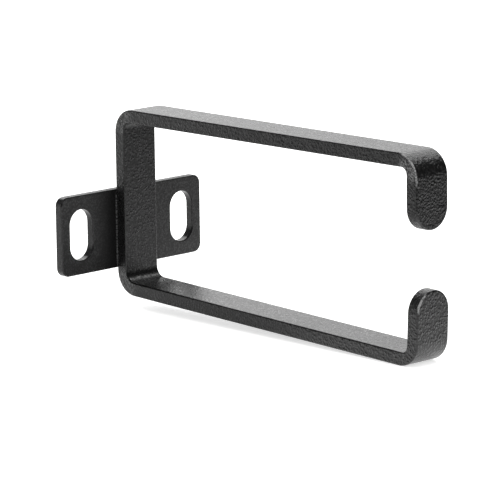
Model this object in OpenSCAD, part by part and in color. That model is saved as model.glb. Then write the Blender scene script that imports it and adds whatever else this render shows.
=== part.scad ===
// D-ring cable hook for a server rack. A flat bar is bent into an open ring
// whose lips turn in at the front, and the ring is welded to a slotted plate
// that screws to the rack's rail.
// X runs from the rail out to the lips, Y across the bar and Z up its leg.
// The origin is the centre of the plate's back face.

/* [Hook bar] */
// Depth of the ring over its outer faces, from the leg to the upper lip
ring_depth = 97.3; // [70:0.1:160]
// Height of the ring over its outer faces, at the leg
ring_h = 44.3; // [38:0.1:90]
// Angle by which the lower arm opens out from square
lower_open = 2.1; // [0:0.1:6]
// Width of the flat bar
bar_w = 10; // [7:0.1:12]
// Thickness of the flat bar
bar_t = 3.2; // [2:0.1:4]
// Radius of each bend's outer face
bend_out_r = 5.7; // [4.5:0.1:8]
// Radius of each bend's inner face
bend_in_r = 1.6; // [0.6:0.1:3.5]
// Straight part of each lip, between its bend and its round end
lip_straight = 6.5; // [2:0.1:9]
// Radius of the bar's rolled edges
bar_edge_r = 0.4; // [0.2:0.05:0.6]

/* [Mounting plate] */
// Thickness of the plate
plate_t = 2.2; // [1:0.1:4]
// Metal left above and below the slots
plate_rim = 3.35; // [2:0.05:6]
// Metal left between each slot and the plate's end
plate_end = 2.7; // [2:0.1:12]
// Radius of the plate's corners
plate_corner_r = 2.1; // [1:0.1:4]
// Radius of the plate's edges and of the slots' rims
plate_edge_r = 0.3; // [0.1:0.05:0.45]
// Straight leg left between the lower bend and the plate
plate_gap = 0.5; // [0:0.1:3]

/* [Slots] */
// Distance between the slots' centres, which matches the rail's outer holes
slot_spacing = 31.75; // [25:0.05:50]
// Width of each slot
slot_w = 7; // [5:0.1:9]
// Length of each slot, end to end
slot_len = 12.1; // [10:0.1:16]

/* [Hidden] */
$fn = 64;
coat = "#2b2b2d";
// How far a cutter runs past each face
past = 1;
// Height of the bends' centres above and below the ring's mid-height
bend_z = ring_h / 2 - bend_out_r;
// Straight part of each arm, between its bends
arm_len = ring_depth - 2 * bend_out_r;
// The lower arm's angle, with its cosine cut to six decimals so that a piece
// turned by it keeps its size exactly and still meets its neighbours
open_angle = acos(round(cos(lower_open) * 1e6) / 1e6);
plate_h = slot_len + 2 * plate_rim;
plate_len = slot_spacing + slot_w + 2 * plate_end;
// The ring's mid-height: its lower bend ends plate_gap below the plate
ring_z = bend_z - plate_gap - plate_h / 2;

// A flat section with rounded corners, from x = 0 to t and centred on y.
module flat_section(t, w, r) {
    translate([0, r - w / 2]) square([t, w - 2 * r]);
    translate([r, -w / 2]) square([t - 2 * r, w]);
    for (x = [r, t - r], y = [r - w / 2, w / 2 - r])
        translate([x, y]) circle(r);
}

// A disc, or a sector of one centred on -Z, whose rim has the same corners.
module flat_disc(t, radius, r, angle = 360)
    rotate([0, 90, 0]) rotate([0, 0, -angle / 2]) rotate_extrude(angle = angle)
        intersection() {
            mirror([1, -1]) flat_section(t, 2 * radius, r);
            square([radius, t]);
        }

// A cutter's section from x = 0 out to the wall at x = reach, for a hole
// through metal that is w thick, centred on y. It flares at both faces, so
// that the hole's rims come out rounded to radius r.
module hole_section(reach, w, r) {
    translate([0, -w / 2 - past]) square([reach, w + 2 * past]);
    for (m = [0, 1]) mirror([0, m]) translate([reach, w / 2 - r])
        difference() {
            square([r, r + past]);
            translate([r, 0]) circle(r);
        }
}

// The flat bar seen end on, with its outer face at x = 0.
module bar_section() flat_section(bar_t, bar_w, bar_edge_r);

// A square bend about the Y axis, from +X round to +Z. Its two radii have
// their own centres, so that it thins towards its middle as a real one does.
module bend() {
    inner_reach = bend_out_r - bar_t;
    shift = inner_reach - bend_in_r;
    difference() {
        rotate([90, 0, 0]) rotate_extrude(angle = 90)
            intersection() {
                translate([-bend_out_r, 0]) flat_section(2 * bend_out_r, bar_w, bar_edge_r);
                translate([0, -bar_w / 2]) square([bend_out_r, bar_w]);
            }
        for (side = [0, 1])
            rotate([0, -side * 90, 0]) mirror([0, 0, side])
                translate([-past, 0, -past]) linear_extrude(shift + past)
                    hole_section(inner_reach + past, bar_w, bar_edge_r);
        translate([shift, 0, shift]) rotate([90, 0, 0]) rotate_extrude(angle = 90)
            hole_section(bend_in_r, bar_w, bar_edge_r);
    }
}

// The upper half of the ring: half of the leg, its bend, the arm and a lip.
// The arm turns out about its bend's centre by the angle open.
module half_ring(open = 0) {
    linear_extrude(bend_z) bar_section();
    translate([bend_out_r, 0, bend_z]) {
        if (open == 0) mirror([1, 0, 0]) bend();
        else open_bend(open);
        rotate([0, -open, 0]) {
            translate([0, 0, bend_out_r]) rotate([0, 90, 0])
                linear_extrude(arm_len) bar_section();
            translate([arm_len, 0, 0]) lip();
        }
    }
}

// A bend from -X round towards +Z that stops short of square by the angle
// open. The bar keeps its full thickness all the way round it.
module open_bend(open) {
    reach = bend_out_r + past;
    intersection() {
        rotate([0, -open, 0]) mirror([1, 0, 0]) rotate([90, 0, 0])
            rotate_extrude(angle = 90)
                translate([bend_out_r, 0]) mirror([1, 0]) bar_section();
        translate([-reach, -reach, 0]) cube([2 * reach, 2 * reach, reach]);
    }
}

// A lip and its bend, whose centre is at the origin.
module lip() {
    bend();
    translate([bend_out_r, 0, -lip_straight]) mirror([1, 0, 0]) {
        linear_extrude(lip_straight) bar_section();
        flat_disc(bar_t, bar_w / 2, bar_edge_r, angle = 180);
    }
}

module hook_bar()
    color(coat) translate([plate_t, 0, ring_z]) {
        half_ring(0);
        mirror([0, 0, 1]) half_ring(open_angle);
    }

// The blank plate, its corners and edges rounded.
module plate_blank() {
    corner_y = plate_len / 2 - plate_corner_r;
    corner_z = plate_h / 2 - plate_corner_r;
    translate([0, 0, -corner_z]) linear_extrude(2 * corner_z)
        flat_section(plate_t, plate_len, plate_edge_r);
    translate([0, corner_y, 0]) rotate([90, 0, 0]) linear_extrude(2 * corner_y)
        flat_section(plate_t, plate_h, plate_edge_r);
    for (y = [-corner_y, corner_y], z = [-corner_z, corner_z])
        translate([0, y, z]) flat_disc(plate_t, plate_corner_r, plate_edge_r);
}

// A round-ended cutter along Z, right through the plate.
module slot_cutter() {
    end_z = (slot_len - slot_w) / 2;
    translate([plate_t / 2, 0, 0]) for (m = [0, 1]) mirror([0, 0, m]) {
        for (n = [0, 1]) mirror([0, n, 0]) linear_extrude(end_z)
            mirror([1, -1]) hole_section(slot_w / 2, plate_t, plate_edge_r);
        translate([0, 0, end_z]) rotate([0, 90, 0]) rotate([0, 0, 90])
            rotate_extrude(angle = 180)
                hole_section(slot_w / 2, plate_t, plate_edge_r);
    }
}

module mounting_plate()
    color(coat) difference() {
        plate_blank();
        for (y = [-1, 1]) translate([0, y * slot_spacing / 2, 0]) slot_cutter();
    }

hook_bar();
mounting_plate();
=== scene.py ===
import math
import random

import bmesh
import bpy
from mathutils import Matrix, Vector


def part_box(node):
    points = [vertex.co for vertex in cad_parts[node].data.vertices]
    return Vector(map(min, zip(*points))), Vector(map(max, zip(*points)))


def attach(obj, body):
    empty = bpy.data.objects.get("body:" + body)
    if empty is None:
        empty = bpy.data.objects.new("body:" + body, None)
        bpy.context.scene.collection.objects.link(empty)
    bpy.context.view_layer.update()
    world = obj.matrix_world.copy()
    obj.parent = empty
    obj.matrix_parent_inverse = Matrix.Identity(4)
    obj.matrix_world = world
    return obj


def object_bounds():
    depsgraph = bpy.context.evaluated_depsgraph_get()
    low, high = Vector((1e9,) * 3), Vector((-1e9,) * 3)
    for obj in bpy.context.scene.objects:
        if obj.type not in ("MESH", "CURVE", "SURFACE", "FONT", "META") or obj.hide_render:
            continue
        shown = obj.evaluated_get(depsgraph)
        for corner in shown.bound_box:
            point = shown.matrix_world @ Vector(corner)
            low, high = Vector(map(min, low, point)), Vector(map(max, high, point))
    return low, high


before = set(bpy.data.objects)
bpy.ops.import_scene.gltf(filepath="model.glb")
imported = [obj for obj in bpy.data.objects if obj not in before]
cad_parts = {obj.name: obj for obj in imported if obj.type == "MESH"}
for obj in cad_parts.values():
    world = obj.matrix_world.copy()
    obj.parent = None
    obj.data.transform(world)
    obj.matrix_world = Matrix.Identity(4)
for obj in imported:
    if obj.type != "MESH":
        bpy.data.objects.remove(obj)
cad_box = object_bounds()

MM = 0.001
PLATE_LOW, PLATE_HIGH = (Vector(c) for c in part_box("mounting_plate"))
BAR_LOW, BAR_HIGH = (Vector(c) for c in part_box("hook_bar"))
BOX_LOW, BOX_HIGH = (Vector(c) for c in cad_box)
CENTRE = (BOX_LOW + BOX_HIGH) / 2

# Camera: where it stands round the hook, how it is turned, and where it aims from the hook's centre
VIEW_AZIMUTH = math.radians(46.1281)
VIEW_ELEVATION = math.radians(11.3202)
VIEW_ROLL = math.radians(-0.7831)
VIEW_DISTANCE = 857.12 * MM
AIM_RIGHT = -5.369 * MM
AIM_UP = -4.334 * MM
SENSOR_MM = 36.0
LENS_MM = 271.98

# Studio levels, where 1 is white. Gloss sees the floor's own light rise to 1 by the lower lip and the leg
SKY_LEVEL = 0.8
CEILING_LEVEL = 0.15
SWEEP_RIM = (math.radians(4), math.radians(22))
FLOOR_PAINT = 0.8
FLOOR_HALF = 3.0
FLOOR_LIFT = 0.65
FLOOR_GLOSS = 0.1
LIP_GLOW = (20 * MM, 48 * MM)
LEG_GLOW = (14 * MM, 20 * MM)
LEG_GLOW_Y = 42 * MM
FLAG_BLACK = 0.02

# The coat's pebbled skin, which is finer on the thin plate
COAT_IOR = 1.5
RING_GREY = 0.01
RING_ROUGHNESS = 0.27
RING_PEBBLE = 0.62 * MM
RING_PEBBLE_DEPTH = 0.16 * MM
PLATE_GREY = 0.019
PLATE_ROUGHNESS = 0.38
PLATE_PEBBLE = 0.5 * MM
PLATE_PEBBLE_DEPTH = 0.07 * MM
# The bead's coat is lighter than the ring's, as a painted highlight along the joint
BEAD_HIGHLIGHT_GREY = 0.022
BEAD_ROUGHNESS = 0.25
BEAD_PEBBLE = 0.4 * MM
BEAD_PEBBLE_DEPTH = 0.03 * MM
SWAY_DEPTH = 0.06 * MM

# How the skin's depth varies over the part, as shares of the pebble depth
LEG_DEPTH = 0.55
LIP_DEPTH = 1.7
TOP_DEPTH = 0.7
SIDE_DEPTH = 1.8
BENT_DEPTH = 1.6
LOW_DEPTH = 0.6
STRETCHED_DEPTH = 0.55
EDGE_DEPTH = 0.3
LEG_TO_LIP_X = (10 * MM, 90 * MM)
LOW_TO_HIGH_Z = (-8 * MM, 10 * MM)

# How its gloss and colour vary, with painted shade in the pits, in the rear bend's inside and on the plate
# beside the bar, and painted highlights on the bends' sides and on rolled edges
STRETCHED_ROUGHNESS = 0.32
EDGE_ROUGHNESS = 0.2
PIT_DULLING = 0.11
# The pits are painted darker and their gloss is turned down, as painted shade in the skin's hollows
PIT_PAINTED_SHADE = 0.48
PIT_SHEEN_PAINTED_SHADE = 0.8
SIDE_SHEEN = 0.87
# Painted shade: gloss turned down inside the rear bend
HOLLOW_SHEEN_PAINTED_SHADE = 0.35
# Painted shade on the plate beside the bar on the near side: gloss turned down and colour darkened
CORNER_SHEEN_PAINTED_SHADE = 0.12
CORNER_PAINTED_SHADE = 0.5
CORNER_REACH = 10 * MM
# The bends' sides are speckled pale, partly a crazed coat and partly painted highlight
FROST_AND_HIGHLIGHT_PITCH = 0.4 * MM
FROST_AND_HIGHLIGHT_GREY = 0.19
BEND_PATCH_SOFTNESS = 1.2 * MM
# A highlight painted pale on the rolled edges at the upper front bend and the lower lip's round end
EDGE_HIGHLIGHT_GREY = 0.36

# Ranges over which the masks turn on, of a normal's share along an axis or of a place along the bar
SIDE_FACING = (0.9, 0.99)
EDGE_FACING = (0.08, 0.3)
TILTED_FACING = (0.03, 0.3)
UP_FACING = (0.2, 0.7)
HOLLOW_FACING = (0.0, 0.1)
FRONT_X = (80 * MM, 90 * MM)
LIPS_X = (90 * MM, 92 * MM)
LIPS_MID = 5 * MM
LIPS_HALF = (15 * MM, 17 * MM)

# The ring's sizes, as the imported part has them
BEND_OUT = 5.7 * MM
RING_DEPTH = 97.3 * MM
PLATE_GAP = 0.5 * MM
FRONT_BEND_X = PLATE_HIGH.x + RING_DEPTH - BEND_OUT

# The bead of coat in the corner between the plate and the bar
BEAD_R = 0.4 * MM
BEAD_RINGS = 90
BEAD_AROUND = 10
BEAD_TIP = 0.12
BEAD_TAPER = 12
BEAD_UNEVEN = (0.8, 1.15)


# ---------- node helpers ----------

def new_material(name):
    material = bpy.data.materials.new(name)
    material.use_nodes = True
    tree = material.node_tree
    tree.nodes.clear()
    return material, tree


def node(tree, kind, **values):
    """A node of that kind. Each value is set on the input of that name, or else on the attribute."""
    made = tree.nodes.new(kind)
    for key, value in values.items():
        names = {i.name.lower(): i for i in made.inputs}
        label = key.replace("_", " ")
        if label in names:
            set_input(tree, names[label], value)
        else:
            setattr(made, key, value)
    return made


def set_input(tree, socket, value):
    if isinstance(value, bpy.types.NodeSocket):
        tree.links.new(value, socket)
    else:
        socket.default_value = value


def maths(tree, operation, *values):
    """The output of a Math node with these values or sockets."""
    made = tree.nodes.new("ShaderNodeMath")
    made.operation = operation
    for socket, value in zip(made.inputs, values):
        set_input(tree, socket, value)
    return made.outputs[0]


def remap(tree, value, low, high, to_low, to_high, smooth=True):
    made = tree.nodes.new("ShaderNodeMapRange")
    made.interpolation_type = "SMOOTHSTEP" if smooth else "LINEAR"
    for socket, v in zip(made.inputs, (value, low, high, to_low, to_high)):
        set_input(tree, socket, v)
    return made.outputs[0]


def product(tree, first, *others):
    result = first
    for other in others:
        result = maths(tree, "MULTIPLY", result, other)
    return result


def grey(level):
    return level, level, level, 1


def mix_colour(tree, factor, first, second):
    made = tree.nodes.new("ShaderNodeMix")
    made.data_type = "RGBA"
    for name, v in (("Factor_Float", factor), ("A_Color", first), ("B_Color", second)):
        set_input(tree, next(i for i in made.inputs if i.identifier == name), v)
    return next(o for o in made.outputs if o.identifier == "Result_Color")


# ---------- materials ----------

def near(tree, place, centre, reach, soft, axes="XYZ"):
    """1 within reach of a point, measured along those axes, falling to 0 over the soft distance past it."""
    weights = [1.0 if axis in axes else 0.0 for axis in "XYZ"]
    flat = node(tree, "ShaderNodeVectorMath", operation="MULTIPLY")
    set_input(tree, flat.inputs[0], place)
    flat.inputs[1].default_value = weights
    away = node(tree, "ShaderNodeVectorMath", operation="DISTANCE")
    set_input(tree, away.inputs[0], flat.outputs[0])
    away.inputs[1].default_value = [c * w for c, w in zip(centre, weights)]
    return remap(tree, away.outputs["Value"], reach, reach + soft, 1, 0)


def split(tree, vector):
    parts = node(tree, "ShaderNodeSeparateXYZ")
    tree.links.new(vector, parts.inputs[0])
    return parts.outputs


def skin_noise(tree, place, pebble):
    """The pebbled skin's height, its fine grain and its slow sway, for pebbles of that pitch."""
    pebbles = node(tree, "ShaderNodeTexVoronoi", vector=place, scale=1 / pebble, feature="SMOOTH_F1",
                   smoothness=0.6)
    grain = node(tree, "ShaderNodeTexNoise", vector=place, scale=1.5 / pebble, detail=1.5, roughness=0.6)
    sway = node(tree, "ShaderNodeTexNoise", vector=place, scale=0.16 / pebble, detail=2.0, roughness=0.5)
    round_tops = remap(tree, pebbles.outputs["Distance"], 0.1, 0.7, 1, 0)
    height = maths(tree, "ADD", maths(tree, "MULTIPLY", round_tops, 0.5), grain.outputs[0])
    return height, grain.outputs[0], sway.outputs[0]


def bend_masks(tree, along, facing):
    """The front bends' outside, where the coat is stretched smooth, and the rear bend's inside, whose gloss
    is turned down as painted shade.
    """
    tilted = remap(tree, maths(tree, "ABSOLUTE", facing["Z"]), *TILTED_FACING, 0, 1)
    forward = remap(tree, facing["X"], *TILTED_FACING, 0, 1)
    rolled = product(tree, tilted, forward)
    front = remap(tree, along["X"], *FRONT_X, 0, 1)
    rear = maths(tree, "SUBTRACT", 1.0, front)
    hollow = product(tree, rolled, rear, remap(tree, facing["Z"], *HOLLOW_FACING, 0, 1))
    return product(tree, rolled, front), hollow


def edge_mask(tree, along, facing, sideways):
    """The rolled edges. The lips' round ends turn through the same directions, but aren't rolled edges."""
    off_face = remap(tree, sideways, *EDGE_FACING, 0, 1)
    off_side = remap(tree, sideways, *SIDE_FACING, 1, 0)
    edge = product(tree, off_face, off_side)
    off_middle = maths(tree, "ABSOLUTE", maths(tree, "SUBTRACT", along["Z"], LIPS_MID))
    lips = product(tree, remap(tree, along["X"], *LIPS_X, 0, 1), remap(tree, off_middle, *LIPS_HALF, 1, 0))
    rim = remap(tree, maths(tree, "ABSOLUTE", facing["X"]), *EDGE_FACING, 1, 0)
    return product(tree, edge, maths(tree, "SUBTRACT", 1.0, product(tree, lips, rim)))


def corner_shade_mask(tree, along, joint):
    """The plate's face beside the bar on the near side, where painted shade darkens the coat and turns its
    gloss down.
    """
    beside = remap(tree, along["Y"], BAR_LOW.y - CORNER_REACH, BAR_LOW.y, 0, 1)
    return product(tree, beside, remap(tree, along["Y"], BAR_LOW.y, BAR_HIGH.y, 1 if joint else 0, 0))


def strongest(tree, masks):
    result = 0.0
    for mask in masks:
        result = maths(tree, "MAXIMUM", result, mask)
    return result


def powder_coat(name, pebble, depth, roughness, level, bends=(), highlight_spots=(), joint=False):
    """Black powder coat, whose skin is pebbled at that pitch and to that depth, with duller pits painted
    darker as shade.
    Each bend is a centre, a reach and a strength, and the skin over the bar's sides there is rough and
    painted pale in specks, partly a crazed coat and partly painted highlight. Each highlight place is a
    centre and a reach, and a highlight is painted pale on the rolled edges there. With a joint, painted
    shade darkens the coat and turns its gloss down on the plate's near face beside the bar."""
    material, tree = new_material(name)
    coords = tree.nodes.new("ShaderNodeTexCoord").outputs
    place = coords["Object"]
    along = split(tree, place)
    facing = split(tree, coords["Normal"])
    sideways = maths(tree, "ABSOLUTE", facing["Y"])
    side = remap(tree, sideways, *SIDE_FACING, 0, 1)
    height, grain, sway = skin_noise(tree, place, pebble)
    pits = remap(tree, height, 0.55, 0.95, 1, 0)
    stretched, hollow = bend_masks(tree, along, facing)
    edge = edge_mask(tree, along, facing, sideways)
    # Painted shade on the plate beside the bar
    corner = corner_shade_mask(tree, along, joint)
    spots = [(near(tree, place, centre, reach, BEND_PATCH_SOFTNESS, axes="XZ"), strength)
             for centre, reach, strength in bends]
    bent = strongest(tree, [product(tree, spot, side, strength) for spot, strength in spots])
    # Painted highlight on the rolled edges at these places
    painted_edge_highlight = strongest(tree, [near(tree, place, centre, reach, 0.6 * reach) for centre, reach in highlight_spots])
    painted_edge_highlight = product(tree, painted_edge_highlight, edge, remap(tree, grain, 0.4, 0.62, 0.35, 1))

    # Towards the lips the skin is pebbled deeper, and so it is on the bar's sides and at its bends
    depth_here = product(tree,
                         remap(tree, along["X"], *LEG_TO_LIP_X, LEG_DEPTH, LIP_DEPTH, smooth=False),
                         remap(tree, side, 0, 1, 1, SIDE_DEPTH),
                         remap(tree, facing["Z"], *UP_FACING, 1, TOP_DEPTH),
                         remap(tree, along["Z"], *LOW_TO_HIGH_Z, LOW_DEPTH, 1),
                         remap(tree, stretched, 0, 1, 1, STRETCHED_DEPTH),
                         remap(tree, bent, 0, 1, depth, depth * BENT_DEPTH),
                         remap(tree, edge, 0, 1, 1, EDGE_DEPTH))
    fine = node(tree, "ShaderNodeBump", strength=1.0, distance=depth_here, height=height)
    wavy = node(tree, "ShaderNodeBump", strength=1.0, distance=SWAY_DEPTH, height=sway,
                normal=fine.outputs[0])

    # Painted highlight, partly a crazed coat: the bends' sides are speckled pale
    frost_and_highlight = node(tree, "ShaderNodeTexNoise", vector=place, scale=1 / FROST_AND_HIGHLIGHT_PITCH, detail=2.0, roughness=0.7)
    frost_and_highlight = product(tree, bent, remap(tree, frost_and_highlight.outputs[0], 0.42, 0.6, 0, 1))
    # Painted shade: the pits are darker than the coat
    shade = mix_colour(tree, pits, (level, level, 1.03 * level, 1), grey(PIT_PAINTED_SHADE * level))
    # Painted highlight, partly a crazed coat, on the bends' sides
    shade = mix_colour(tree, frost_and_highlight, shade, grey(FROST_AND_HIGHLIGHT_GREY))
    # Painted highlight on the rolled edges
    shade = mix_colour(tree, painted_edge_highlight, shade, grey(EDGE_HIGHLIGHT_GREY))
    # Painted shade on the plate beside the bar
    shade = mix_colour(tree, corner, shade, grey(CORNER_PAINTED_SHADE * level))
    # Painted shade: the pits' gloss is turned down
    sheen = mix_colour(tree, pits, grey(1), grey(PIT_SHEEN_PAINTED_SHADE))
    sheen = mix_colour(tree, maths(tree, "SUBTRACT", side, bent), sheen, grey(SIDE_SHEEN))
    # Painted shade: gloss turned down inside the rear bend
    sheen = mix_colour(tree, hollow, sheen, grey(HOLLOW_SHEEN_PAINTED_SHADE))
    # Painted shade: gloss turned down on the plate beside the bar
    sheen = mix_colour(tree, corner, sheen, grey(CORNER_SHEEN_PAINTED_SHADE))
    gloss = remap(tree, pits, 0, 1, roughness, roughness + PIT_DULLING)
    gloss = remap(tree, edge, 0, 1, gloss, EDGE_ROUGHNESS)
    gloss = remap(tree, stretched, 0, 1, gloss, STRETCHED_ROUGHNESS)
    shader = node(tree, "ShaderNodeBsdfPrincipled", base_color=shade, roughness=gloss,
                  normal=wavy.outputs[0], ior=COAT_IOR, specular_tint=sheen)
    out = tree.nodes.new("ShaderNodeOutputMaterial")
    tree.links.new(shader.outputs[0], out.inputs["Surface"])
    return material


def shows_background(tree, camera=True):
    """1 for a ray that shows the background off metal or through glass, or straight from the camera."""
    rays = tree.nodes.new("ShaderNodeLightPath").outputs
    shown = maths(tree, "MAXIMUM", rays["Is Glossy Ray"], rays["Is Transmission Ray"])
    return maths(tree, "MAXIMUM", rays["Is Camera Ray"], shown) if camera else shown


def floor_white():
    """A white sheet. The camera sees it a little lighter than it is lit, so that only deep shadow shows.
    Gloss sees it lighter too, most of all near the lower lip and beside the leg."""
    material, tree = new_material("studio_white")
    rays = tree.nodes.new("ShaderNodeLightPath").outputs
    paint = node(tree, "ShaderNodeBsdfDiffuse", color=grey(FLOOR_PAINT))
    seen = maths(tree, "MULTIPLY", rays["Is Camera Ray"], FLOOR_LIFT)
    place = tree.nodes.new("ShaderNodeTexCoord").outputs["Object"]
    close = maths(tree, "MAXIMUM", near(tree, place, (BAR_HIGH.x, 0, 0), *LIP_GLOW, axes="XY"),
                  near(tree, place, (0, LEG_GLOW_Y, 0), *LEG_GLOW, axes="XY"))
    glossed = product(tree, shows_background(tree, camera=False), remap(tree, close, 0, 1, FLOOR_GLOSS, 1))
    lift = node(tree, "ShaderNodeEmission", color=grey(1), strength=maths(tree, "MAXIMUM", seen, glossed))
    both = tree.nodes.new("ShaderNodeAddShader")
    tree.links.new(paint.outputs[0], both.inputs[0])
    tree.links.new(lift.outputs[0], both.inputs[1])
    out = tree.nodes.new("ShaderNodeOutputMaterial")
    tree.links.new(both.outputs[0], out.inputs["Surface"])
    return material


def flag_black():
    material, tree = new_material("studio_black")
    cloth = node(tree, "ShaderNodeBsdfDiffuse", color=grey(FLAG_BLACK))
    out = tree.nodes.new("ShaderNodeOutputMaterial")
    tree.links.new(cloth.outputs[0], out.inputs["Surface"])
    return material


# ---------- pieces ----------

def coat(node_name, material):
    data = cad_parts[node_name].data
    data.materials.clear()
    data.materials.append(material)


def build_joint_bead(name, side, material):
    """The thin bead where the coat fills the corner between the plate's face and one side of the bar."""
    dice = random.Random(name)
    low = PLATE_LOW.z + BEAD_R
    high = PLATE_HIGH.z - BEAD_R
    corner = Vector((PLATE_HIGH.x + 0.3 * BEAD_R, side * BAR_HIGH.y, 0))
    mesh = bmesh.new()
    loops = []
    for i in range(BEAD_RINGS + 1):
        share = i / BEAD_RINGS
        taper = min(1.0, BEAD_TAPER * share, BEAD_TAPER * (1 - share)) ** 0.5
        radius = BEAD_R * (BEAD_TIP + (1 - BEAD_TIP) * taper) * dice.uniform(*BEAD_UNEVEN)
        z = low + (high - low) * share
        loop = []
        for k in range(BEAD_AROUND):
            turn = 2 * math.pi * k / BEAD_AROUND
            spoke = Vector((radius * math.cos(turn), radius * math.sin(turn), z))
            loop.append(mesh.verts.new(corner + spoke))
        loops.append(loop)
    for lower, upper in zip(loops, loops[1:]):
        for k in range(BEAD_AROUND):
            mesh.faces.new((lower[k], lower[k - 1], upper[k - 1], upper[k])).smooth = True
    mesh.faces.new(loops[0])
    mesh.faces.new(reversed(loops[-1]))
    bmesh.ops.recalc_face_normals(mesh, faces=mesh.faces)
    data = bpy.data.meshes.new(name)
    mesh.to_mesh(data)
    mesh.free()
    data.materials.append(material)
    bead = bpy.data.objects.new(name, data)
    bpy.context.scene.collection.objects.link(bead)
    subdivide = bead.modifiers.new("smooth", "SUBSURF")
    subdivide.levels = 1
    subdivide.render_levels = 1
    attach(bead, "root")
    return bead


# ---------- studio ----------

def look_axes(azimuth, elevation):
    """Right, up and back axes of a camera that stands at this azimuth and elevation."""
    back = Vector((math.sin(azimuth) * math.cos(elevation), -math.cos(azimuth) * math.cos(elevation),
                   math.sin(elevation)))
    right = Vector((math.cos(azimuth), math.sin(azimuth), 0))
    return right, back.cross(right), back


def build_camera():
    right, up, back = look_axes(VIEW_AZIMUTH, VIEW_ELEVATION)
    aim = CENTRE + right * AIM_RIGHT + up * AIM_UP
    turn = Matrix((right, up, back)).transposed() @ Matrix.Rotation(VIEW_ROLL, 3, "Z")
    data = bpy.data.cameras.new("camera")
    data.sensor_width = SENSOR_MM
    data.lens = LENS_MM
    data.clip_start = 0.01
    camera = bpy.data.objects.new("camera", data)
    camera.matrix_world = Matrix.Translation(aim + back * VIEW_DISTANCE) @ turn.to_4x4()
    bpy.context.scene.collection.objects.link(camera)
    bpy.context.scene.camera = camera


def stage_sheet(name, corners, material):
    mesh = bpy.data.meshes.new(name)
    mesh.from_pydata([tuple(c) for c in corners], [], [(0, 1, 2, 3)])
    mesh.materials.append(material)
    sheet = bpy.data.objects.new(name, mesh)
    bpy.context.scene.collection.objects.link(sheet)
    return sheet


def build_floor():
    signs = ((-1, -1), (1, -1), (1, 1), (-1, 1))
    corners = [(x * FLOOR_HALF, y * FLOOR_HALF, BOX_LOW.z) for x, y in signs]
    stage_sheet("floor", corners, floor_white())


def build_flag(name, towards, reach, width, height):
    """A black card that stands on the floor that way from the hook. It darkens what the hook reflects on
    that side, but takes no light from it, and the camera doesn't see it."""
    foot = Vector((CENTRE.x, CENTRE.y, BOX_LOW.z + 0.001)) + towards * reach
    along = Vector((-towards.y, towards.x, 0)) * width / 2
    rise = Vector((0, 0, height))
    corners = [foot - along, foot + along, foot + along + rise, foot - along + rise]
    flag = stage_sheet(name, corners, flag_black())
    flag.visible_camera = False
    flag.visible_diffuse = False


def softbox(name, towards, elevation, distance, width, height, level):
    """A softbox that way from the hook, as bright as that many times white paper in plain light."""
    data = bpy.data.lights.new(name, "AREA")
    data.shape = "RECTANGLE"
    data.size = width
    data.size_y = height
    data.energy = level * math.pi * width * height
    lamp = bpy.data.objects.new(name, data)
    away = towards * math.cos(elevation) + Vector((0, 0, math.sin(elevation)))
    turn = away.to_track_quat("Z", "Y").to_matrix().to_4x4()
    lamp.matrix_world = Matrix.Translation(CENTRE + away * distance) @ turn
    bpy.context.scene.collection.objects.link(lamp)


def build_world():
    """The room round the stage. The camera sees it white. Gloss sees the white sweep low down and, above its
    rim, the dim ceiling. All else is lit by it at one level."""
    world = bpy.data.worlds.new("studio")
    world.use_nodes = True
    tree = world.node_tree
    tree.nodes.clear()
    rays = tree.nodes.new("ShaderNodeLightPath").outputs
    towards = node(tree, "ShaderNodeSeparateXYZ")
    tree.links.new(tree.nodes.new("ShaderNodeTexCoord").outputs["Generated"], towards.inputs[0])
    rim = [math.sin(angle) for angle in SWEEP_RIM]
    sweep = remap(tree, towards.outputs["Z"], *rim, 1, CEILING_LEVEL)
    white = maths(tree, "MAXIMUM", sweep, rays["Is Camera Ray"])
    level = remap(tree, shows_background(tree), 0, 1, SKY_LEVEL, white)
    sky = node(tree, "ShaderNodeBackground", color=(1, 1, 1, 1), strength=level)
    out = tree.nodes.new("ShaderNodeOutputWorld")
    tree.links.new(sky.outputs[0], out.inputs["Surface"])
    bpy.context.scene.world = world


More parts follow.
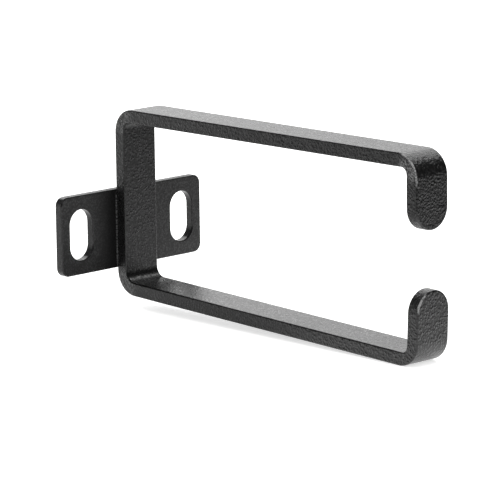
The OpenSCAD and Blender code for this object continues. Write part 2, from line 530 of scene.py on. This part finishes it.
def build_studio():
    scene = bpy.context.scene
    scene.view_settings.view_transform = "Standard"
    build_floor()
    build_world()
    right, up, back = look_axes(VIEW_AZIMUTH, 0)
    behind = (-back + 0.2 * right).normalized()
    softbox("softbox_behind", behind, math.radians(36), 1.0, 1.5, 1.0, 2.05)
    softbox("strip_front", back, math.radians(48), 1.0, 0.14, 0.5, 12.0)
    softbox("key", (-back + 1.6 * right).normalized(), math.radians(47), 1.0, 0.35, 0.3, 5.0)
    build_flag("flag_right", right, 0.22, 0.8, 0.25)
    build_flag("flag_front", back, 0.28, 0.7, 0.3)


# ---------- main ----------

def bend_places():
    """The bends whose sides are rough and painted pale in specks, partly a crazed coat and partly painted
    highlight, each a centre, a reach and a strength.
    """
    top_z = BAR_HIGH.z - BEND_OUT
    low_z = PLATE_LOW.z - PLATE_GAP
    back_x = PLATE_HIGH.x + BEND_OUT
    out = 0.5 * BEND_OUT
    return [((FRONT_BEND_X + 0.6 * BEND_OUT, 0, top_z + 0.45 * BEND_OUT), 2.3 * MM, 1.0),
            ((back_x - out, 0, top_z + out), 2.5 * MM, 0.5),
            ((back_x - out, 0, low_z - out), 2.6 * MM, 0.5)]


def edge_highlight_places():
    """Where a highlight is painted pale on the near edge: at the upper front bend and on the lower lip's
    round end.
    """
    points = [v.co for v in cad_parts["hook_bar"].data.vertices]
    low_lip = [p for p in points if p.x > 0.9 * BAR_HIGH.x and p.z < 10 * MM]
    low_round_z = max(p.z for p in low_lip) - BAR_HIGH.y
    top_z = BAR_HIGH.z - BEND_OUT
    return [((FRONT_BEND_X + 0.8 * BEND_OUT, BAR_LOW.y, top_z + 3.2 * MM), 3.2 * MM),
            ((BAR_HIGH.x, BAR_LOW.y + 0.8 * MM, low_round_z + 2.8 * MM), 1.8 * MM)]


build_camera()
build_studio()
coat("hook_bar", powder_coat("ring_coat", RING_PEBBLE, RING_PEBBLE_DEPTH, RING_ROUGHNESS, RING_GREY,
                             bend_places(), edge_highlight_places()))
coat("mounting_plate", powder_coat("plate_coat", PLATE_PEBBLE, PLATE_PEBBLE_DEPTH, PLATE_ROUGHNESS,
                                   PLATE_GREY, joint=True))
bead_coat = powder_coat("bead_coat", BEAD_PEBBLE, BEAD_PEBBLE_DEPTH, BEAD_ROUGHNESS, BEAD_HIGHLIGHT_GREY)
build_joint_bead("joint_bead_near", -1, bead_coat)
build_joint_bead("joint_bead_far", 1, bead_coat)
